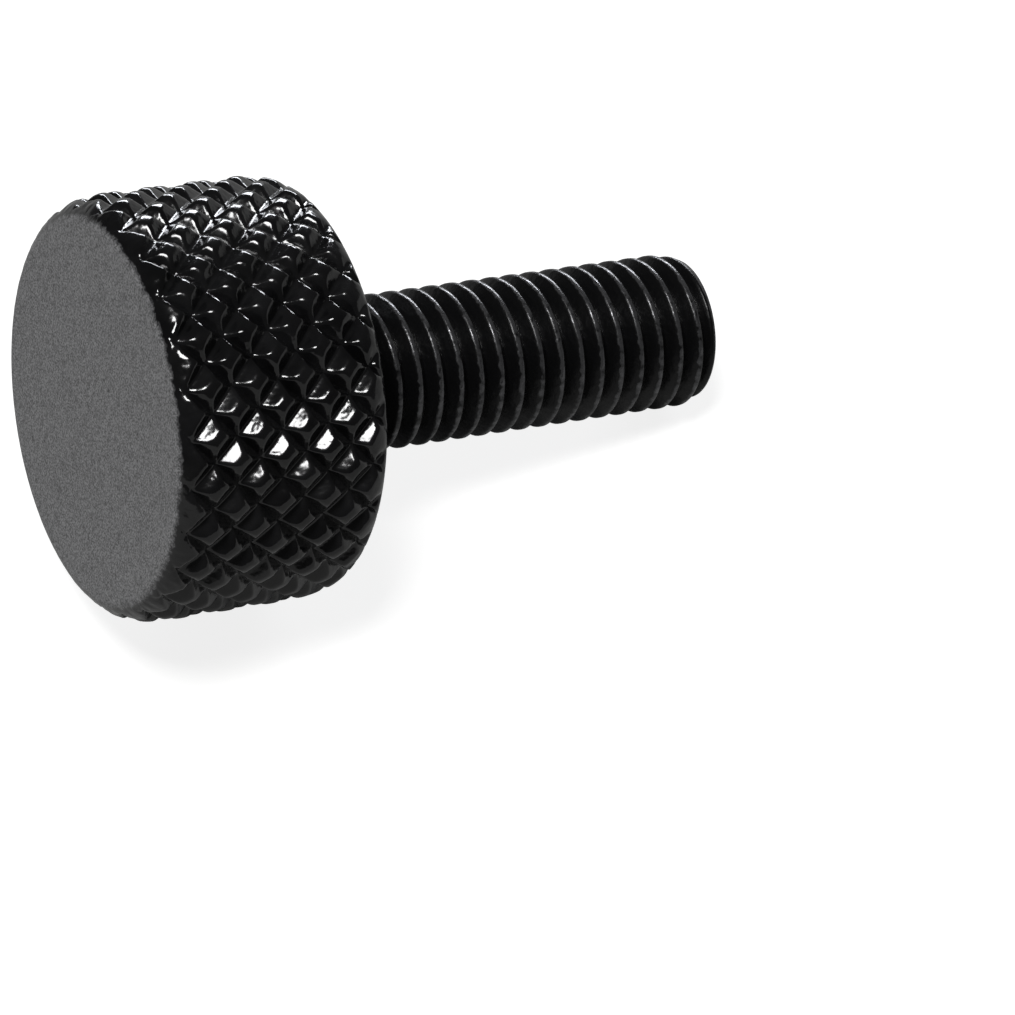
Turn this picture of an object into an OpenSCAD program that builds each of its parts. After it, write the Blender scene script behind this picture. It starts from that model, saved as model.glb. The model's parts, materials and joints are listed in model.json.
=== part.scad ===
// Seat mounting knob: a thumb screw turned from one bar, with a diamond-knurled head and a 1/4 inch, 28 tpi shank.
// It lies as it comes to rest, on two points of the knurl's last row and on the edge of its tip.

/* [Head] */
// Diameter over the blunt points of the knurl
head_d = 16.7; // [14:0.1:24]
// Length of the head, from the flat face to the seat
head_l = 8.75; // [7:0.05:14]
// Radial depth of the rounded edge round the flat face
face_edge_depth = 1; // [0.7:0.05:1.6]
// Radial depth of the rounded edge round the seat
seat_edge_depth = 0.75; // [0.6:0.05:1.4]
// Length of both rounded edges along the axis
edge_l = 1.6; // [1:0.1:2.6]

/* [Knurl] */
// Points in one ring of the knurl
knurl_count = 26; // [20:1:36]
// Distance between neighbouring points along the axis
knurl_pitch = 1.92; // [1.5:0.02:2.6]
// Depth of the crossing grooves below the blunt points
knurl_depth = 0.5; // [0.3:0.05:0.65]
// Height that the blunt points lack to be sharp
point_blunting = 0.12; // [0.04:0.02:0.2]
// Distance of the last ring of points from the seat
knurl_inset = 0.65; // [0.5:0.05:1.2]

/* [Shank] */
// Major diameter of the thread
thread_d = 6.2; // [5:0.05:9.5]
// Length of the shank, from the seat to the end of the tip
shank_l = 17.5; // [10:0.1:40]
// Radial depth of the lead-in at the tip
tip_depth = 0.27; // [0.1:0.01:0.6]
// Length of the lead-in at the tip, along the axis
tip_l = 0.6; // [0.3:0.1:1.5]

/* [Hidden] */

coat_colour = "#1b1b1c";

// Radii and stations along the axis, which runs from the flat face at 0 to the tip
head_r = head_d / 2;
point_r = head_r + point_blunting;
groove_r = head_r - knurl_depth;
face_r = head_r - face_edge_depth;
seat_r = head_r - seat_edge_depth;
thread_r = thread_d / 2;
tip_r = thread_r - tip_depth;
tip_z = head_l + shank_l;
lead_in_z = tip_z - tip_l;
last_ring_z = head_l - knurl_inset;

// Rings and half steps of the knurl; it runs past both ends of the head, and the turned blank then cuts it
ring_step = knurl_pitch / 2;
half_step = 180 / knurl_count;
half_steps = 2 * knurl_count;
first_ring = -ceil(last_ring_z / ring_step) - 1;
rings = ceil((head_l - last_ring_z) / ring_step) + 2 - first_ring;

// Straight steps in the outline of a rounded edge
edge_steps = 6;
// Length of shank that runs on inside the head
shank_root_l = head_l / 2;

// Resting place: the bottom lies midway between two blunt points of the last ring, which the edge of the seat cuts
edge_overlap = max(1 - knurl_inset / edge_l, 0);
last_ring_r = seat_r + seat_edge_depth * sqrt(1 - pow(edge_overlap, 2));
blunt_share = (point_r - last_ring_r) / (point_r - groove_r);
rest_r = last_ring_r * cos(half_step * (1 - blunt_share));
rest_tilt = atan((rest_r - thread_r) / (lead_in_z - last_ring_z));
rest_height = rest_r * cos(rest_tilt) + last_ring_z * sin(rest_tilt);
face_edge_reach = norm([face_edge_depth * sin(rest_tilt), edge_l * cos(rest_tilt)]);
rest_back = edge_l * cos(rest_tilt) - face_r * sin(rest_tilt) - face_edge_reach;
rest_front = tip_r * sin(rest_tilt) + tip_z * cos(rest_tilt);

// A place on the knurl is a point where ring and half step add up to an odd number, and a groove crossing elsewhere
function is_point(ring, step) = abs(ring + step) % 2 == 1;

function knurl_place(ring, step) =
    let (r = is_point(ring, step) ? point_r : groove_r)
    let (angle = step * half_step)
    [r * cos(angle), r * sin(angle), last_ring_z + ring * ring_step];

function place_index(row, step) = row * half_steps + step % half_steps;

// The two facets between four neighbouring places meet along the floor of the groove that crosses them
function knurl_facets(row, step) =
    let (a = place_index(row, step))
    let (b = place_index(row, step + 1))
    let (c = place_index(row + 1, step + 1))
    let (d = place_index(row + 1, step))
    is_point(row + first_ring, step) ? [[a, d, b], [b, d, c]] : [[a, c, b], [a, d, c]];

// A bar with square-based points all over it, made by two crossing sets of helical grooves
module knurled_bar() {
    last_row = rings - 1;
    places = [
        for (row = [0 : last_row])
            for (step = [0 : half_steps - 1])
                knurl_place(row + first_ring, step)
    ];
    facets = [
        for (row = [0 : last_row - 1])
            for (step = [0 : half_steps - 1])
                each knurl_facets(row, step)
    ];
    start_centre = len(places);
    end_centre = start_centre + 1;
    start_cap = [
        for (step = [0 : half_steps - 1])
            [start_centre, place_index(0, step), place_index(0, step + 1)]
    ];
    end_cap = [
        for (step = [0 : half_steps - 1])
            [end_centre, place_index(last_row, step + 1), place_index(last_row, step)]
    ];
    centres = [
        [0, 0, last_ring_z + first_ring * ring_step],
        [0, 0, last_ring_z + (first_ring + last_row) * ring_step]
    ];
    polyhedron(concat(places, centres), concat(facets, start_cap, end_cap));
}

// Outline of a rounded edge, a quarter of an ellipse from the start angle on
function rounded_edge(centre_r, centre_z, depth, start) = [
    for (i = [0 : edge_steps])
        let (angle = start + 90 * i / edge_steps)
        [centre_r + depth * cos(angle), centre_z + edge_l * sin(angle)]
];

// The head's blank as the lathe leaves it
module turned_blank() {
    face_edge = rounded_edge(face_r, edge_l, face_edge_depth, -90);
    seat_edge = rounded_edge(seat_r, head_l - edge_l, seat_edge_depth, 0);
    rotate_extrude($fn = 96)
        polygon(concat([[0, 0]], face_edge, seat_edge, [[0, head_l]]));
}

module shank() {
    rotate_extrude($fn = 64)
        polygon([
            [0, head_l - shank_root_l],
            [thread_r, head_l - shank_root_l],
            [thread_r, lead_in_z],
            [tip_r, tip_z],
            [0, tip_z]
        ]);
}

// Lays a shape that stands on its axis down on its side, with its lowest points on the floor
module laid_down() {
    translate([-(rest_back + rest_front) / 2, 0, rest_height])
        rotate([0, 90 + rest_tilt, 0])
            children();
}

module knurled_knob() {
    color(coat_colour)
        laid_down() {
            intersection() {
                knurled_bar();
                turned_blank();
            }
            shank();
        }
}

knurled_knob();
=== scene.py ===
"""A seat mounting knob: one turned thumb screw in a black gloss coat, lying on a pale studio floor.

The head is a turned blank that two crossing sets of grooves are rolled into, and the shank carries a fine
right-hand thread. Both are one closed mesh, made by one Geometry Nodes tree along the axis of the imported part.
"""
import json
from math import asin, ceil, cos, floor, pi, radians, sqrt

import bpy
from mathutils import Matrix, Vector


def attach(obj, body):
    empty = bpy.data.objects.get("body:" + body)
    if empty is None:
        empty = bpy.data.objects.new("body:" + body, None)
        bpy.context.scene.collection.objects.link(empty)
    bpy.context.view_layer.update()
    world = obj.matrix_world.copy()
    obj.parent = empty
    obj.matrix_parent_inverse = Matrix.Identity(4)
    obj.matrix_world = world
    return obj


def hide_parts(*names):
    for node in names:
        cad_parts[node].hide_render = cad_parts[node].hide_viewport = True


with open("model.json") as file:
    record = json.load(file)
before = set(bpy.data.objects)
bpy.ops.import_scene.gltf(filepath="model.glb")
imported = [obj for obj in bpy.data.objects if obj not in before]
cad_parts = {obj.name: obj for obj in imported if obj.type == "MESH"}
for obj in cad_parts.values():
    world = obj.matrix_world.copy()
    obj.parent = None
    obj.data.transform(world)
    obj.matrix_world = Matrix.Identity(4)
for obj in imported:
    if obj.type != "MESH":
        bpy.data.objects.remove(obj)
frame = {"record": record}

bl_info = {
    "name": "Seat Mounting Knob",
    "version": (1, 0, 0),
    "blender": (4, 5, 0),
    "location": "3D View > Sidebar > Knob",
    "description": "Makes a knurled knob screw with its coat and thread, and the studio that shows it",
    "category": "Object",
}

MM = 0.001
NODE = "knurled_knob"

# The frame gives the axis of the screw, the radius of its thread and the place of its seat
MOUNTS = {mount["name"]: mount for mount in frame["record"]["mounts"]}
SHANK = MOUNTS["threaded_shank"]
SEAT = MOUNTS["seat"]
AXIS = Vector(SHANK["axis"])
SHANK_MIDDLE = Vector(SHANK["pos_m"])
SEAT_CENTRE = SHANK_MIDDLE + AXIS * AXIS.dot(Vector(SEAT["pos_m"]) - SHANK_MIDDLE)
THREAD_R = SHANK["dims"]["r_mm"] * MM
FULL_THREAD_L = SHANK["dims"]["length_mm"] * MM

# Rows and columns of the mesh between two neighbouring grooves, columns of the head that join one column of the
# shank at the neck, and rows in one turn of the thread
SAMPLES_PER_STEP = 10
COLUMNS_JOINED_AT_NECK = 5
ROWS_PER_TURN = 16
# Rows on the part of a rounded edge that lies below the grooves, and the share of it that they cover
ROWS_PER_EDGE = 7
SMOOTH_SHARE = 0.9
# Width of the rings that keep the face and the seat flat up to their edges
EDGE_SUPPORT = 0.08 * MM
# Radius of the ring that keeps the end of the tip flat, as a share of the end's radius
CAP_SUPPORT = 0.95
MERGE_DISTANCE = 0.001 * MM
# Share of a row that the knurl's first and last row keep clear of the rows on the edges
ROW_GAP = 0.5
# Share of a column by which a point is moved on before it is snapped back to a joined column
SNAP_NUDGE = 0.1
# Turns of the thread's grid that start below the seat, and rows that close the end of the tip
FOOT_TURNS = 2
CAP_ROWS = 2
SHARP_ANGLE = radians(70)
# Share of the face's edge over which the burrs rise from the face
BURR_START = 0.12
# Mean of a noise, and the levels that most of it lies between
NOISE_MEAN = 0.5
NOISE_LOW = 0.35
NOISE_HIGH = 0.65
# Height on the thread with its flecks added, from the first bare speck to a bare crest
RUB_START = 1.12
RUB_END = 1.27

FLOOR_SIZE = 6.0
SENSOR_MM = 36.0
CLIP_START = 0.01
MATH = "ShaderNodeMath"
# How high a point of the thread lies, from 0 at its root to 1 on its crest
CREST_SHARE = "crest_share"
# How near a point of the head lies to the flat face, from 0 where the grooves begin to 1 on it
FACE_SHARE = "face_share"


def length(name, text, size_mm):
    """A length property, given in millimetres and kept in metres."""
    return bpy.props.FloatProperty(
        name=name, description=text, default=size_mm * MM, min=0.0, precision=6, unit="LENGTH", subtype="DISTANCE"
    )


def share(name, text, part):
    """A share between nothing and the whole."""
    return bpy.props.FloatProperty(name=name, description=text, default=part, min=0.0, max=1.0, subtype="FACTOR")


def power(name, text, exponent):
    """A power that bends a straight flank, which 1 leaves straight."""
    return bpy.props.FloatProperty(name=name, description=text, default=exponent, min=1.0)


def angle(name, text, degrees):
    """An angle property, given in degrees and kept in radians."""
    return bpy.props.FloatProperty(name=name, description=text, default=radians(degrees), subtype="ANGLE")


def linear(code):
    """Linear RGBA of an sRGB hex code such as #1b1b1c."""
    shares = [int(code[i : i + 2], 16) / 255 for i in (1, 3, 5)]
    return (*(c / 12.92 if c <= 0.04045 else ((c + 0.055) / 1.055) ** 2.4 for c in shares), 1.0)


def colour(name, text, code):
    """A colour property, given as an sRGB hex code and kept in linear light."""
    return bpy.props.FloatVectorProperty(
        name=name, description=text, default=linear(code), min=0.0, max=1.0, size=4, subtype="COLOR"
    )


class KnobSizes(bpy.types.PropertyGroup):
    """Sizes of the head, its knurl and the thread"""

    head_d: length("Head diameter", "Diameter over the blunt points of the knurl", 16.7)
    head_l: length("Head length", "From the flat face to the seat", 8.75)
    face_edge_depth: length("Face edge depth", "Radial depth of the rounded edge round the flat face", 1.0)
    seat_edge_depth: length("Seat edge depth", "Radial depth of the rounded edge round the seat", 0.75)
    edge_l: length("Edge length", "Length of both rounded edges along the axis", 1.6)
    knurl_count: bpy.props.IntProperty(
        name="Knurl count", description="Points in one ring of the knurl", default=26, min=8
    )
    knurl_pitch: length("Knurl pitch", "Distance between neighbouring points along the axis", 1.92)
    first_depth: length("First depth", "Depth of the first set of grooves below the blunt points", 0.44)
    second_depth: length("Second depth", "Depth of the second set of grooves below the blunt points", 0.5)
    point_blunting: length("Point blunting", "Height that the blunt points lack to be sharp", 0.12)
    point_rounding: length("Point rounding", "Reach of the rounding of the blunt points", 0.2)
    knurl_inset: length("Knurl inset", "From the last ring of points to the seat", 0.65)
    first_hollow: power("First hollow", "Power that hollows the floors of the first set of grooves", 1.35)
    first_crown: power("First crown", "Power that crowns the ridges beside the first set of grooves", 1.4)
    second_hollow: power("Second hollow", "Power that hollows the floors of the second set of grooves", 1.1)
    second_crown: power("Second crown", "Power that crowns the ridges beside the second set of grooves", 1.9)
    ridge_rounding: length("Ridge rounding", "Reach of the rounding of the ridges, which fades towards the floors", 0.2)
    knurl_wander: share("Knurl wander", "How far the grooves stray, as a share of their distance", 0.12)
    wander_l: length("Wander length", "Distance over which the grooves stray", 1.6)
    burr_l: length("Burr length", "Width of the burrs that the knurl leaves where it runs out at the face", 0.35)
    burr_height: length("Burr height", "Height of those burrs", 0.1)
    thread_pitch: length("Thread pitch", "28 turns to the inch", 25.4 / 28)
    thread_depth: length("Thread depth", "From the crests to the root of the thread", 0.5)
    thread_crest: share("Thread crest", "Share of the pitch that is crest", 0.19)
    thread_rounding: share("Thread rounding", "How far crest and root are rounded, as a share of the depth", 0.14)
    thread_start: share("Thread start", "Share of a turn at which the first crest leaves the seat", 0.19)
    tip_depth: length("Tip depth", "Radial depth of the lead-in at the tip", 0.27)
    tip_l: length("Tip length", "Length of the lead-in along the axis", 0.6)
    tip_rounding: length("Tip rounding", "Reach of the rounding where the lead-in cuts the thread", 0.15)


class KnobFinish(bpy.types.PropertyGroup):
    """Colours and gloss of the coat"""

    coat: colour("Coat", "Black of the enamel", "#0b0b0c")
    thin_coat: colour("Thin coat", "Black where the enamel runs thin", "#171718")
    gloss: share("Gloss roughness", "Roughness of the coat where it flows out on the knurl", 0.11)
    dry_gloss: share("Dry gloss roughness", "Roughness where the spray fell dry on the knurl", 0.18)
    spray_l: length("Spray length", "Width of the patches where the spray fell dry", 1.2)
    peel_l: length("Peel length", "Width of the ripples that the spray leaves in the coat", 0.3)
    peel_height: length("Peel height", "Height of those ripples", 0.018)
    # The face's two greys are a painted reflection of the pale floor, laid into the face's colour, with grains that
    # vary it at random; face reach and fray also set where this painted sheen ends
    face_painted_sheen: colour("Face sheen", "Grey of the dry coat on the turned face", "#4a4a4b")
    face_grain_painted_sheen: colour("Face grain sheen", "Grey of the lighter grains on the turned face", "#a0a0a2")
    face_reach: share("Face reach", "How far the dry coat runs over the edge of the face towards the grooves", 0.6)
    fray: share("Fray", "How far the ripples fray the end of the dry coat", 1.0)
    satin: share("Satin roughness", "Roughness of the coat on the turned face", 0.38)
    grain_l: length("Grain length", "Width of the grains on the turned face", 0.075)
    grain_height: length("Grain height", "Height of those grains", 0.002)
    crest_steel: colour("Crest steel", "Grey of the steel that is rubbed bare along the thread's crests", "#6a6a6c")
    thread_gloss: share("Thread roughness", "Roughness of the coat on the flanks of the thread", 0.3)
    crest_gloss: share("Crest roughness", "Roughness of the rubbed crests", 0.26)
    fleck_l: length("Fleck length", "Width of the flecks on the thread", 0.3)
    fleck_height: length("Fleck height", "Height of those flecks", 0.025)
    fleck_fray: share("Fleck fray", "How far the flecks fray the rubbed crests, as a share of the depth", 0.4)
    ior: bpy.props.FloatProperty(name="Enamel IOR", description="Refraction of the enamel", default=1.55, min=1.0)
    thread_ior: bpy.props.FloatProperty(
        name="Thread IOR", description="Refraction of the thin dry coat on the thread", default=1.36, min=1.0
    )


class KnobStudio(bpy.types.PropertyGroup):
    """Camera, floor and lamps"""

    azimuth: angle("Azimuth", "Direction that the camera looks in, from +Y towards -X", -24.08)
    elevation: angle("Elevation", "Height of the camera above the horizon", 49.71)
    roll: angle("Roll", "Turn of the camera about its own axis", -1.25)
    distance: length("Distance", "From the camera to the point that it looks at", 227.83)
    aim: bpy.props.FloatVectorProperty(
        name="Aim", description="Point that the camera looks at",
        default=(2.369 * MM, -6.845 * MM, 4.422 * MM), size=3, subtype="TRANSLATION", unit="LENGTH",
    )
    lens: bpy.props.FloatProperty(
        name="Lens", description="Focal length on a sensor 36 mm wide", default=206.5, unit="CAMERA"
    )
    floor_colour: colour("Floor", "Pale paper of the floor", "#a8a8a7")
    camera_glow: share("Camera glow", "White that the camera sees on the floor besides the lamps' light", 0.84)
    gloss_glow: share("Gloss glow", "White that the coat mirrors from the floor besides the lamps' light", 0.02)
    room_grey: colour("Room", "Dim room round the studio", "#303030")
    horizon: colour("Horizon", "White that the camera sees beyond the paper's edge", "#ffffff")
    lamp_distance: length("Lamp distance", "From the knob to the lamps", 1000.0)
    key_azimuth: angle("Key azimuth", "Turn of the overhead softbox about the knob, from +X towards +Y", 217.8)
    key_elevation: angle("Key elevation", "Height of the overhead softbox", 75.3)
    key_size: length("Key size", "Side of the square overhead softbox", 300.0)
    key_power: bpy.props.FloatProperty(
        name="Key power", description="Power of the overhead softbox", default=7.5, unit="POWER"
    )
    key_tint: colour("Key tint", "White of the overhead softbox", "#ffffff")
    back_azimuth: angle("Back azimuth", "Turn of the strip light behind the knob, from +X towards +Y", 62.0)
    back_elevation: angle("Back elevation", "Height of the strip light", 8.0)
    back_width: length("Back width", "Width of the strip light", 650.0)
    back_height: length("Back height", "Height of the strip light's window", 200.0)
    back_power: bpy.props.FloatProperty(
        name="Back power", description="Power of the strip light", default=7.0, unit="POWER"
    )
    back_tint: colour("Back tint", "Cool daylight of the strip light", "#f6f9ff")


def add(tree, kind, inputs=(), **settings):
    """Adds a node with its settings, fills or links its inputs, and gives back its first output in use."""
    node = tree.nodes.new(kind)
    for name, value in settings.items():
        setattr(node, name, value)
    for key, value in inputs.items() if isinstance(inputs, dict) else enumerate(inputs):
        if isinstance(key, str):
            socket = next(s for s in node.inputs if s.enabled and s.name == key)
        else:
            socket = node.inputs[key]
        if isinstance(value, bpy.types.NodeSocket):
            tree.links.new(value, socket)
        else:
            socket.default_value = value
    return next((s for s in node.outputs if s.enabled), None)


def smooth_turn(sizes, edge_depth):
    """The part of a rounded edge, as an angle on its ellipse, that the grooves don't reach."""
    groove_depth = max(sizes.first_depth, sizes.second_depth)
    return asin(max(edge_depth - groove_depth, 0.0) / edge_depth) * SMOOTH_SHARE


def blank_radius(sizes, station):
    """Radius of the turned blank at a station along the axis, with its two rounded edges."""
    into_face_edge = max(1 - station / sizes.edge_l, 0.0)
    into_seat_edge = max(1 - (sizes.head_l - station) / sizes.edge_l, 0.0)
    face_edge = sizes.face_edge_depth * (1 - sqrt(max(1 - into_face_edge**2, 0.0)))
    seat_edge = sizes.seat_edge_depth * (1 - sqrt(max(1 - into_seat_edge**2, 0.0)))
    return sizes.head_d / 2 - max(face_edge, seat_edge)


def head_profile(sizes):
    """Rows of the turned blank as (radius, station along the axis), from the middle of the face to the neck."""
    rows_up_edge = [i / ROWS_PER_EDGE for i in range(ROWS_PER_EDGE + 1)]
    face_turn = smooth_turn(sizes, sizes.face_edge_depth)
    seat_turn = smooth_turn(sizes, sizes.seat_edge_depth)
    face_edge = [sizes.edge_l * (1 - cos(face_turn * up)) for up in rows_up_edge]
    seat_edge = [sizes.head_l - sizes.edge_l * (1 - cos(seat_turn * up)) for up in reversed(rows_up_edge)]
    row_step = sizes.knurl_pitch / 2 / SAMPLES_PER_STEP
    last_ring = sizes.head_l - sizes.knurl_inset
    first_row = ceil((face_edge[-1] - last_ring) / row_step + ROW_GAP)
    last_row = floor((seat_edge[0] - last_ring) / row_step - ROW_GAP)
    knurled = [last_ring + row * row_step for row in range(first_row, last_row + 1)]
    stations = [*face_edge, *knurled, *seat_edge]
    rows = [Vector((blank_radius(sizes, station), station)) for station in stations]
    support = Vector((EDGE_SUPPORT, 0.0))
    face = [Vector((0.0, 0.0)), rows[0] - support]
    seat = [rows[-1] - support, Vector((THREAD_R - sizes.thread_depth / 2, sizes.head_l))]
    return [*face, *rows, *seat]


def round_axis(tree, turn, radius, station):
    """The place at a share of a turn, a radius and a station round the axis."""
    turned = add(tree, MATH, (turn, 2 * pi), operation="MULTIPLY")
    across = add(tree, MATH, (turned,), operation="COSINE")
    side = add(tree, MATH, (turned,), operation="SINE")
    x = add(tree, MATH, (radius, across), operation="MULTIPLY")
    y = add(tree, MATH, (radius, side), operation="MULTIPLY")
    return add(tree, "ShaderNodeCombineXYZ", (x, y, station))


def knurl_radius(tree, size, turn, station):
    """Radius of the knurled surface, where two crossing sets of helical grooves leave square-based points.

    The height of the first set over the second comes with it, which is below 0 on the flanks of the first.
    """
    steps_round = add(tree, MATH, (turn, size["Half steps"]), operation="MULTIPLY")
    past_ring = add(tree, MATH, (station, size["Last ring"]), operation="SUBTRACT")
    steps_along = add(tree, MATH, (past_ring, size["Ring step"]), operation="DIVIDE")
    place = round_axis(tree, turn, size["Point radius"], station)
    stray = add(tree, "ShaderNodeTexNoise", {"Vector": place, "Scale": size["Wander scale"], "Detail": 0.0})
    strays = add(tree, "ShaderNodeSeparateXYZ", (stray.node.outputs["Color"],)).node.outputs
    flanks, heights = [], []
    for crossing, aside, name in zip(("ADD", "SUBTRACT"), strays, ("First", "Second")):
        step = add(tree, MATH, (steps_round, steps_along), operation=crossing)
        centred = add(tree, MATH, (aside, NOISE_MEAN), operation="SUBTRACT")
        wandered = add(tree, MATH, (centred, size["Wander"], step), operation="MULTIPLY_ADD")
        from_floor = add(tree, MATH, (wandered, 1.0), operation="PINGPONG")
        heights.append(from_floor)
        rise = add(tree, MATH, (from_floor, size[name + " hollow"]), operation="POWER")
        short = add(tree, MATH, (1.0, rise), operation="SUBTRACT")
        fall = add(tree, MATH, (short, size[name + " crown"]), operation="POWER")
        drop = add(tree, MATH, (fall, size[name + " height"]), operation="MULTIPLY")
        flanks.append(add(tree, MATH, (size["Point radius"], drop), operation="SUBTRACT"))
    above_floors = add(tree, MATH, heights, operation="MINIMUM")
    rounding = add(tree, MATH, (above_floors, size["Ridge rounding"]), operation="MULTIPLY")
    radius = add(tree, MATH, (*flanks, rounding), operation="SMOOTH_MIN")
    first_above_second = add(tree, MATH, flanks, operation="SUBTRACT")
    return radius, first_above_second


def face_burr(tree, size, turn, station):
    """Height of the uneven burrs on the edge round the face, which fade out on the face and on the knurl."""
    place = round_axis(tree, turn, size["Point radius"], station)
    noise = add(tree, "ShaderNodeTexNoise", {"Vector": place, "Scale": size["Burr scale"], "Detail": 1.0})
    centred = add(tree, MATH, (noise, NOISE_MEAN), operation="SUBTRACT")
    off_face = add(
        tree, "ShaderNodeMapRange", {"Value": station, "From Min": 0.0, "From Max": size["Burr start"]},
        interpolation_type="SMOOTHSTEP",
    )
    off_knurl = add(
        tree, "ShaderNodeMapRange", {"Value": station, "From Min": size["Edge"], "From Max": size["Burr start"]},
        interpolation_type="SMOOTHSTEP",
    )
    shares = add(tree, MATH, (off_face, off_knurl), operation="MULTIPLY")
    height = add(tree, MATH, (shares, size["Burr height"]), operation="MULTIPLY")
    return add(tree, MATH, (centred, height), operation="MULTIPLY")


def grid(tree, columns, rows):
    """A flat grid, with each point's share of a turn and the number of its row."""
    last_row = add(tree, MATH, (rows, 1.0), operation="SUBTRACT")
    around = add(tree, MATH, (columns, 1.0), operation="ADD")
    mesh = add(
        tree, "GeometryNodeMeshGrid", {"Size X": 1.0, "Size Y": 1.0, "Vertices X": around, "Vertices Y": rows}
    )
    place = add(tree, "ShaderNodeSeparateXYZ", (add(tree, "GeometryNodeInputPosition"),))
    turn = add(tree, MATH, (place, 0.5), operation="ADD")
    along = add(tree, MATH, (place.node.outputs["Y"], 0.5), operation="ADD")
    row_share = add(tree, MATH, (along, last_row), operation="MULTIPLY")
    row = add(tree, MATH, (row_share,), operation="ROUND")
    return mesh, turn, row, last_row


def knurled_head(tree, size, coat):
    """The turned profile spun round the axis, with the knurl rolled into it and the columns joined at the neck.

    Each square of the grid is split along the groove that it lies in, so that the floors of both sets run straight.
    """
    rows = add(tree, "GeometryNodeAttributeDomainSize", {"Geometry": size["Turned profile"]}, component="MESH")
    mesh, turn, row, last_row = grid(tree, size["Columns"], rows)
    profile = add(
        tree, "GeometryNodeSampleIndex",
        {"Geometry": size["Turned profile"], "Value": add(tree, "GeometryNodeInputPosition"), "Index": row},
        data_type="FLOAT_VECTOR", domain="POINT",
    )
    blank = add(tree, "ShaderNodeSeparateXYZ", (profile,))
    station = blank.node.outputs["Z"]
    knurl, first_above_second = knurl_radius(tree, size, turn, station)
    knurled = add(tree, MATH, (blank, knurl, size["Point rounding"]), operation="SMOOTH_MIN")
    radius = add(tree, MATH, (knurled, face_burr(tree, size, turn, station)), operation="ADD")
    neck_columns = add(tree, MATH, (size["Columns"], COLUMNS_JOINED_AT_NECK), operation="DIVIDE")
    neck_step = add(tree, MATH, (1.0, neck_columns), operation="DIVIDE")
    nudged = add(tree, MATH, (neck_step, SNAP_NUDGE, turn), operation="MULTIPLY_ADD")
    neck_turn = add(tree, MATH, (nudged, neck_step), operation="SNAP")
    at_neck = add(tree, "FunctionNodeCompare", {"A": row, "B": last_row}, data_type="FLOAT", operation="GREATER_EQUAL")
    joined_turn = add(
        tree, "GeometryNodeSwitch", {"Switch": at_neck, "False": turn, "True": neck_turn}, input_type="FLOAT"
    )
    place = round_axis(tree, joined_turn, radius, station)
    over_points = add(
        tree, "GeometryNodeFieldOnDomain", {"Value": first_above_second}, data_type="FLOAT", domain="POINT"
    )
    on_first = add(tree, "FunctionNodeCompare", {"A": over_points}, data_type="FLOAT", operation="LESS_THAN")
    split_first = add(
        tree, "GeometryNodeTriangulate", {"Mesh": mesh, "Selection": on_first}, quad_method="FIXED_ALTERNATE"
    )
    split = add(tree, "GeometryNodeTriangulate", {"Mesh": split_first}, quad_method="FIXED")
    near_face = add(
        tree, "ShaderNodeMapRange", {"Value": station, "From Min": size["Face edge end"], "From Max": 0.0}
    )
    marked = add(
        tree, "GeometryNodeStoreNamedAttribute", {"Geometry": split, "Name": FACE_SHARE, "Value": near_face},
        data_type="FLOAT", domain="POINT",
    )
    spun = add(tree, "GeometryNodeSetPosition", {"Geometry": marked, "Position": place})
    return add(tree, "GeometryNodeSetMaterial", {"Geometry": spun, "Material": coat})


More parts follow.
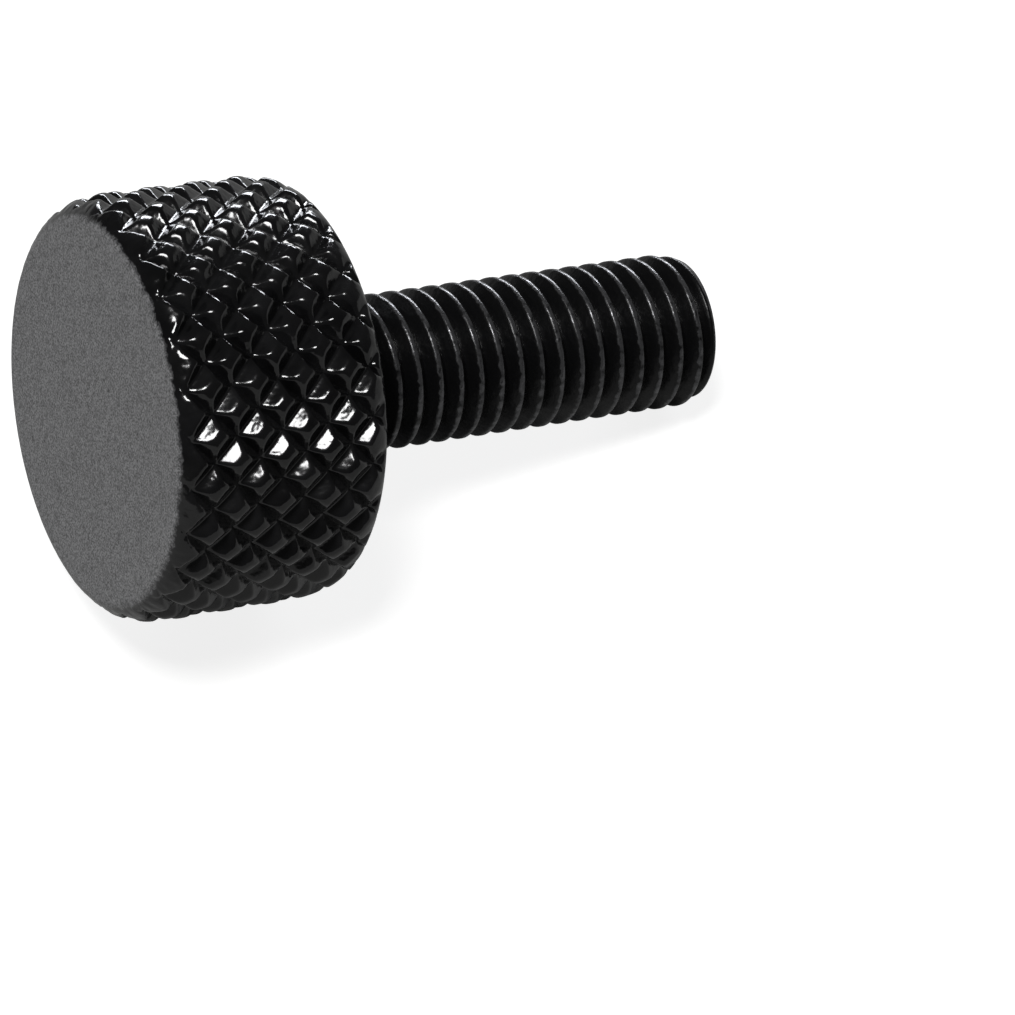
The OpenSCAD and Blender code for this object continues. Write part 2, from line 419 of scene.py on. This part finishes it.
def threaded_shank(tree, size, coat):
    """A grid whose rows climb one pitch in each turn, so that every row keeps its place on the thread."""
    columns = add(tree, MATH, (size["Columns"], COLUMNS_JOINED_AT_NECK), operation="DIVIDE")
    mesh, turn, row, last_row = grid(tree, columns, size["Thread rows"])
    pitches = add(tree, MATH, (row, ROWS_PER_TURN), operation="DIVIDE")
    climbed = add(tree, MATH, (pitches, turn), operation="ADD")
    raw_station = add(
        tree, MATH, (climbed, size["Thread pitch"], size["Thread foot"]), operation="MULTIPLY_ADD"
    )
    station = add(tree, "ShaderNodeClamp", {"Value": raw_station, "Min": size["Seat"], "Max": size["Tip"]})
    past_foot = add(tree, MATH, (station, size["Thread foot"]), operation="SUBTRACT")
    turns = add(tree, MATH, (past_foot, size["Thread pitch"]), operation="DIVIDE")
    phase = add(tree, MATH, (turns, turn), operation="SUBTRACT")
    halves = add(tree, MATH, (phase, 2.0), operation="MULTIPLY")
    from_crest = add(tree, MATH, (halves, 1.0), operation="PINGPONG")
    flank = add(
        tree, "ShaderNodeMapRange",
        {"Value": from_crest, "From Min": size["Thread crest"], "From Max": 1.0, "To Min": 1.0, "To Max": 0.0},
        clamp=False,
    )
    rooted = add(tree, MATH, (flank, 0.0, size["Thread rounding"]), operation="SMOOTH_MAX")
    crested = add(tree, MATH, (rooted, 1.0, size["Thread rounding"]), operation="SMOOTH_MIN")
    root_r = add(tree, MATH, (size["Thread radius"], size["Thread depth"]), operation="SUBTRACT")
    thread = add(tree, MATH, (crested, size["Thread depth"], root_r), operation="MULTIPLY_ADD")
    from_seat = add(tree, MATH, (station, size["Seat"]), operation="SUBTRACT")
    run_out = add(
        tree, "ShaderNodeMapRange",
        {"Value": from_seat, "From Min": 0.0, "From Max": size["Thread pitch"], "To Min": 0.0, "To Max": 1.0},
        interpolation_type="SMOOTHSTEP",
    )
    necked = add(tree, "ShaderNodeMix", {"Factor": run_out, "A": size["Neck radius"], "B": thread}, data_type="FLOAT")
    from_tip = add(tree, MATH, (size["Tip"], station), operation="SUBTRACT")
    lead_in = add(tree, MATH, (from_tip, size["Tip slope"], size["Tip radius"]), operation="MULTIPLY_ADD")
    led_in = add(tree, MATH, (necked, lead_in, size["Tip rounding"]), operation="SMOOTH_MIN")
    rows_left = add(tree, MATH, (last_row, row), operation="SUBTRACT")
    off_middle = add(tree, MATH, (rows_left, CAP_SUPPORT), operation="MULTIPLY", use_clamp=True)
    radius = add(tree, MATH, (led_in, off_middle), operation="MULTIPLY")
    place = round_axis(tree, turn, radius, station)
    marked = add(
        tree, "GeometryNodeStoreNamedAttribute", {"Geometry": mesh, "Name": CREST_SHARE, "Value": crested},
        data_type="FLOAT", domain="POINT",
    )
    spun = add(tree, "GeometryNodeSetPosition", {"Geometry": marked, "Position": place})
    return add(tree, "GeometryNodeSetMaterial", {"Geometry": spun, "Material": coat})


def knob_sockets(sizes):
    """Every input of the knob's tree, with its kind and its value."""
    head_r = sizes.head_d / 2
    tip = sizes.head_l + FULL_THREAD_L + sizes.tip_l
    shank_turns = (tip - sizes.head_l) / sizes.thread_pitch
    thread_rows = ceil(shank_turns * ROWS_PER_TURN) + FOOT_TURNS * ROWS_PER_TURN + CAP_ROWS
    foot = sizes.head_l - (FOOT_TURNS - sizes.thread_start) * sizes.thread_pitch
    face_edge_end = sizes.edge_l * (1 - cos(smooth_turn(sizes, sizes.face_edge_depth)))
    return {
        "Columns": ("NodeSocketInt", 2 * sizes.knurl_count * SAMPLES_PER_STEP),
        "Half steps": ("NodeSocketInt", 2 * sizes.knurl_count),
        "Thread rows": ("NodeSocketInt", thread_rows),
        "Point radius": ("NodeSocketFloat", head_r + sizes.point_blunting),
        "First height": ("NodeSocketFloat", sizes.first_depth + sizes.point_blunting),
        "Second height": ("NodeSocketFloat", sizes.second_depth + sizes.point_blunting),
        "Point rounding": ("NodeSocketFloat", sizes.point_rounding),
        "Ring step": ("NodeSocketFloat", sizes.knurl_pitch / 2),
        "Last ring": ("NodeSocketFloat", sizes.head_l - sizes.knurl_inset),
        "First hollow": ("NodeSocketFloat", sizes.first_hollow),
        "First crown": ("NodeSocketFloat", sizes.first_crown),
        "Second hollow": ("NodeSocketFloat", sizes.second_hollow),
        "Second crown": ("NodeSocketFloat", sizes.second_crown),
        "Ridge rounding": ("NodeSocketFloat", sizes.ridge_rounding),
        "Wander": ("NodeSocketFloat", sizes.knurl_wander),
        "Wander scale": ("NodeSocketFloat", 1 / sizes.wander_l),
        "Burr scale": ("NodeSocketFloat", 1 / sizes.burr_l),
        "Burr height": ("NodeSocketFloat", sizes.burr_height),
        "Burr start": ("NodeSocketFloat", sizes.edge_l * BURR_START),
        "Edge": ("NodeSocketFloat", sizes.edge_l),
        "Face edge end": ("NodeSocketFloat", face_edge_end),
        "Seat": ("NodeSocketFloat", sizes.head_l),
        "Tip": ("NodeSocketFloat", tip),
        "Tip radius": ("NodeSocketFloat", THREAD_R - sizes.tip_depth),
        "Tip slope": ("NodeSocketFloat", sizes.tip_depth / sizes.tip_l),
        "Tip rounding": ("NodeSocketFloat", sizes.tip_rounding),
        "Thread radius": ("NodeSocketFloat", THREAD_R),
        "Thread pitch": ("NodeSocketFloat", sizes.thread_pitch),
        "Thread depth": ("NodeSocketFloat", sizes.thread_depth),
        "Thread crest": ("NodeSocketFloat", sizes.thread_crest),
        "Thread rounding": ("NodeSocketFloat", sizes.thread_rounding),
        "Thread foot": ("NodeSocketFloat", foot),
        "Neck radius": ("NodeSocketFloat", THREAD_R - sizes.thread_depth / 2),
        "Resting turn": ("NodeSocketVector", AXIS.to_track_quat("Z", "X").to_euler()),
        "Resting place": ("NodeSocketVector", SEAT_CENTRE - AXIS * sizes.head_l),
    }


def knob_tree(values, coat, thread_coat):
    """The tree that turns, knurls and threads the knob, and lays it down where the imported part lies."""
    tree = bpy.data.node_groups.new("Knurled knob", "GeometryNodeTree")
    tree.interface.new_socket("Turned profile", in_out="INPUT", socket_type="NodeSocketGeometry")
    for name, (kind, _) in values.items():
        tree.interface.new_socket(name, in_out="INPUT", socket_type=kind)
    tree.interface.new_socket("Knob", in_out="OUTPUT", socket_type="NodeSocketGeometry")
    size = add(tree, "NodeGroupInput").node.outputs
    head = knurled_head(tree, size, coat)
    shank = threaded_shank(tree, size, thread_coat)
    both = add(tree, "GeometryNodeJoinGeometry")
    for half in (head, shank):
        tree.links.new(half, both.node.inputs[0])
    closed = add(tree, "GeometryNodeMergeByDistance", {"Geometry": both, "Distance": MERGE_DISTANCE})
    smooth = add(tree, "GeometryNodeSetShadeSmooth", {"Geometry": closed})
    laid = add(
        tree, "GeometryNodeTransform",
        {"Geometry": smooth, "Translation": size["Resting place"], "Rotation": size["Resting turn"]},
    )
    real = add(tree, "GeometryNodeRealizeInstances", {"Geometry": laid})
    add(tree, "NodeGroupOutput", (real,))
    return tree


def bare_tree(owner):
    """The empty node tree of a new material or world."""
    owner.use_nodes = True
    owner.node_tree.nodes.clear()
    return owner.node_tree


def head_enamel(finish):
    """Black enamel sprayed on the head, flowed out to a gloss on the knurl and dried to a satin grain on the face, with
    a painted grey sheen there.
    """
    # A wet black with tight highlights, which the spray ripples and dry spots dull a little, and on the face a satin
    # grain under an even grey that is painted into the colour, a painted reflection of the pale floor; the overspray
    # frays where the two meet
    # The real grain is too fine to show, so it is drawn two pixels wide
    material = bpy.data.materials.new("sprayed_black_enamel")
    tree = bare_tree(material)
    place = add(tree, "ShaderNodeTexCoord").node.outputs["Object"]
    peel = add(tree, "ShaderNodeTexNoise", {"Vector": place, "Scale": 1 / finish.peel_l, "Detail": 1.0})
    grain = add(tree, "ShaderNodeTexNoise", {"Vector": place, "Scale": 1 / finish.grain_l, "Detail": 2.0})
    spray = add(tree, "ShaderNodeTexNoise", {"Vector": place, "Scale": 1 / finish.spray_l, "Detail": 3.0})
    near_face = add(tree, "ShaderNodeAttribute", attribute_name=FACE_SHARE).node.outputs["Fac"]
    frayed = add(tree, MATH, (peel, -finish.fray, near_face), operation="MULTIPLY_ADD")
    face_end = 1 - finish.fray * NOISE_MEAN
    flowed = add(
        tree, "ShaderNodeMapRange",
        {"Value": frayed, "From Min": face_end, "From Max": face_end - finish.face_reach},
    )
    dried = add(tree, MATH, (1.0, flowed), operation="SUBTRACT")
    dryness = add(tree, "ShaderNodeMapRange", {"Value": spray, "From Min": NOISE_LOW, "From Max": NOISE_HIGH})
    speck = add(tree, "ShaderNodeMapRange", {"Value": grain, "From Min": NOISE_LOW, "From Max": NOISE_HIGH})
    gloss_tone = add(
        tree, "ShaderNodeMix", {"Factor": dryness, "A": finish.coat, "B": finish.thin_coat}, data_type="RGBA"
    )
    # Painted reflection: the face's greys stand in for the pale floor that it mirrors, and the flowed mask sets where
    # this painted sheen gives way to the black gloss
    painted_face_sheen = add(
        tree, "ShaderNodeMix", {"Factor": speck, "A": finish.face_painted_sheen, "B": finish.face_grain_painted_sheen}, data_type="RGBA"
    )
    tone = add(tree, "ShaderNodeMix", {"Factor": flowed, "A": painted_face_sheen, "B": gloss_tone}, data_type="RGBA")
    gloss = add(
        tree, "ShaderNodeMix", {"Factor": dryness, "A": finish.gloss, "B": finish.dry_gloss}, data_type="FLOAT"
    )
    roughness = add(tree, "ShaderNodeMix", {"Factor": flowed, "A": finish.satin, "B": gloss}, data_type="FLOAT")
    ripple = add(
        tree, "ShaderNodeBump", {"Strength": flowed, "Distance": finish.peel_height, "Height": peel}
    )
    pitted = add(
        tree, "ShaderNodeBump",
        {"Strength": dried, "Distance": finish.grain_height, "Height": grain, "Normal": ripple},
    )
    shader = add(
        tree, "ShaderNodeBsdfPrincipled",
        {"Base Color": tone, "Roughness": roughness, "IOR": finish.ior, "Normal": pitted},
    )
    add(tree, "ShaderNodeOutputMaterial", {"Surface": shader})
    return material


def thread_enamel(finish):
    """The thin dry coat that the spray leaves on a rolled thread."""
    # A dull black in the roots, with flecked lines of grey steel along the crests, where the coat is rubbed through
    material = bpy.data.materials.new("thin_black_enamel_on_thread")
    tree = bare_tree(material)
    place = add(tree, "ShaderNodeTexCoord").node.outputs["Object"]
    fleck = add(tree, "ShaderNodeTexNoise", {"Vector": place, "Scale": 1 / finish.fleck_l, "Detail": 3.0})
    height = add(tree, "ShaderNodeAttribute", attribute_name=CREST_SHARE).node.outputs["Fac"]
    frayed = add(tree, MATH, (fleck, finish.fleck_fray, height), operation="MULTIPLY_ADD")
    rubbed = add(tree, "ShaderNodeMapRange", {"Value": frayed, "From Min": RUB_START, "From Max": RUB_END})
    tone = add(tree, "ShaderNodeMix", {"Factor": rubbed, "A": finish.coat, "B": finish.crest_steel}, data_type="RGBA")
    roughness = add(
        tree, "ShaderNodeMix", {"Factor": rubbed, "A": finish.thread_gloss, "B": finish.crest_gloss}, data_type="FLOAT"
    )
    pitted = add(tree, "ShaderNodeBump", {"Distance": finish.fleck_height, "Height": fleck})
    shader = add(
        tree, "ShaderNodeBsdfPrincipled",
        {"Base Color": tone, "Metallic": rubbed, "Roughness": roughness, "IOR": finish.thread_ior, "Normal": pitted},
    )
    add(tree, "ShaderNodeOutputMaterial", {"Surface": shader})
    return material


def ray_glow(tree, to_camera, to_gloss):
    """A glow of one level for what the camera sees and of another for what a gloss mirrors or lets through."""
    rays = add(tree, "ShaderNodeLightPath").node.outputs
    mirrored = add(tree, MATH, (rays["Is Glossy Ray"], rays["Is Transmission Ray"]), operation="MAXIMUM")
    in_gloss = add(tree, MATH, (mirrored, to_gloss), operation="MULTIPLY")
    return add(tree, MATH, (rays["Is Camera Ray"], to_camera, in_gloss), operation="MULTIPLY_ADD")


def paper(studio):
    """White paper of the floor, which keeps the knob's soft shadow."""
    # Matte and pale, with a little more white for the camera and for what the coat mirrors
    material = bpy.data.materials.new("white_matte_paper")
    tree = bare_tree(material)
    glow = ray_glow(tree, studio.camera_glow, studio.gloss_glow)
    matte = add(tree, "ShaderNodeBsdfDiffuse", {"Color": studio.floor_colour})
    white = add(tree, "ShaderNodeEmission", {"Strength": glow})
    both = add(tree, "ShaderNodeAddShader", (matte, white))
    add(tree, "ShaderNodeOutputMaterial", {"Surface": both})
    return material


def room(studio):
    """A dim room, which the camera sees as white beyond the paper's edge."""
    world = bpy.data.worlds.new("dim_studio_room")
    tree = bare_tree(world)
    glow = ray_glow(tree, 1.0, studio.gloss_glow)
    tone = add(
        tree, "ShaderNodeMix", {"Factor": glow, "A": studio.room_grey, "B": studio.horizon}, data_type="RGBA"
    )
    light = add(tree, "ShaderNodeBackground", {"Color": tone})
    add(tree, "ShaderNodeOutputWorld", {"Surface": light})
    return world


def hang_lamp(scene, name, turn, height, distance, width, depth, watts, tint):
    """Hangs a rectangular lamp that faces the knob, at a turn and a height round it."""
    data = bpy.data.lights.new(name, "AREA")
    data.shape = "RECTANGLE"
    data.size = width
    data.size_y = depth
    data.energy = watts
    data.color = tint[:3]
    lamp = bpy.data.objects.new(name, data)
    scene.collection.objects.link(lamp)
    way = Matrix.Rotation(turn, 3, "Z") @ Matrix.Rotation(-height, 3, "Y") @ Vector((1.0, 0.0, 0.0))
    lamp.location = way * distance
    lamp.rotation_euler = way.to_track_quat("Z", "Y").to_euler()


class KNOB_OT_knurled_knob(bpy.types.Operator):
    """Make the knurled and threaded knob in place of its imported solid"""

    bl_idname = "knob.knurled_knob"
    bl_label = "Knurled Knob"

    def execute(self, context):
        sizes = context.scene.knob_sizes
        finish = context.scene.knob_finish
        profile = head_profile(sizes)
        rows = bpy.data.meshes.new("turned_profile")
        rows.from_pydata([(p.x, 0.0, p.y) for p in profile], [(i, i + 1) for i in range(len(profile) - 1)], [])
        knob = bpy.data.objects.new("knob_screw", rows)
        context.scene.collection.objects.link(knob)
        values = knob_sockets(sizes)
        tree = knob_tree(values, head_enamel(finish), thread_enamel(finish))
        modifier = knob.modifiers.new("Knurled knob", "NODES")
        modifier.node_group = tree
        for item in tree.interface.items_tree:
            if item.name in values:
                modifier[item.identifier] = values[item.name][1]
        ready = knob.evaluated_get(context.evaluated_depsgraph_get())
        mesh = bpy.data.meshes.new_from_object(ready)
        knob.modifiers.clear()
        knob.data = mesh
        if not mesh.polygons:
            raise RuntimeError("the knob's tree made no faces")
        mesh.set_sharp_from_angle(angle=SHARP_ANGLE)
        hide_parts(NODE)
        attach(knob, "root")
        return {"FINISHED"}


class KNOB_OT_studio(bpy.types.Operator):
    """Lay the floor, hang the lamps and place the camera"""

    bl_idname = "knob.studio"
    bl_label = "Studio"

    def execute(self, context):
        scene = context.scene
        studio = scene.knob_studio
        bpy.ops.mesh.primitive_plane_add(size=FLOOR_SIZE)
        ground = context.object
        ground.name = "studio_floor"
        ground.data.materials.append(paper(studio))
        hang_lamp(
            scene, "overhead_softbox", studio.key_azimuth, studio.key_elevation, studio.lamp_distance,
            studio.key_size, studio.key_size, studio.key_power, studio.key_tint,
        )
        hang_lamp(
            scene, "back_strip_light", studio.back_azimuth, studio.back_elevation, studio.lamp_distance,
            studio.back_width, studio.back_height, studio.back_power, studio.back_tint,
        )
        scene.world = room(studio)
        data = bpy.data.cameras.new("photo_camera")
        data.lens = studio.lens
        data.sensor_width = SENSOR_MM
        data.clip_start = CLIP_START
        camera = bpy.data.objects.new("photo_camera", data)
        scene.collection.objects.link(camera)
        turn = (
            Matrix.Rotation(studio.azimuth, 4, "Z")
            @ Matrix.Rotation(pi / 2 - studio.elevation, 4, "X")
            @ Matrix.Rotation(studio.roll, 4, "Z")
        )
        camera.matrix_world = Matrix.Translation(studio.aim) @ turn @ Matrix.Translation((0.0, 0.0, studio.distance))
        scene.camera = camera
        scene.view_settings.view_transform = "Standard"
        return {"FINISHED"}


class KNOB_PT_panel(bpy.types.Panel):
    """Sizes, finish and studio of the knob"""

    bl_label = "Seat Mounting Knob"
    bl_space_type = "VIEW_3D"
    bl_region_type = "UI"
    bl_category = "Knob"

    def draw(self, context):
        layout = self.layout
        for operator in OPERATORS:
            layout.operator(operator.bl_idname)
        for name, group in GROUPS.items():
            for key in group.__annotations__:
                layout.prop(getattr(context.scene, name), key)


GROUPS = {"knob_sizes": KnobSizes, "knob_finish": KnobFinish, "knob_studio": KnobStudio}
OPERATORS = (KNOB_OT_knurled_knob, KNOB_OT_studio)
CLASSES = (*GROUPS.values(), *OPERATORS, KNOB_PT_panel)


def register():
    for cls in CLASSES:
        bpy.utils.register_class(cls)
    for name, group in GROUPS.items():
        setattr(bpy.types.Scene, name, bpy.props.PointerProperty(type=group))


def unregister():
    for name in GROUPS:
        delattr(bpy.types.Scene, name)
    for cls in reversed(CLASSES):
        bpy.utils.unregister_class(cls)


def main():
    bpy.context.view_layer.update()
    register()
    bpy.ops.knob.knurled_knob()
    bpy.ops.knob.studio()


if __name__ == "__main__":
    main()
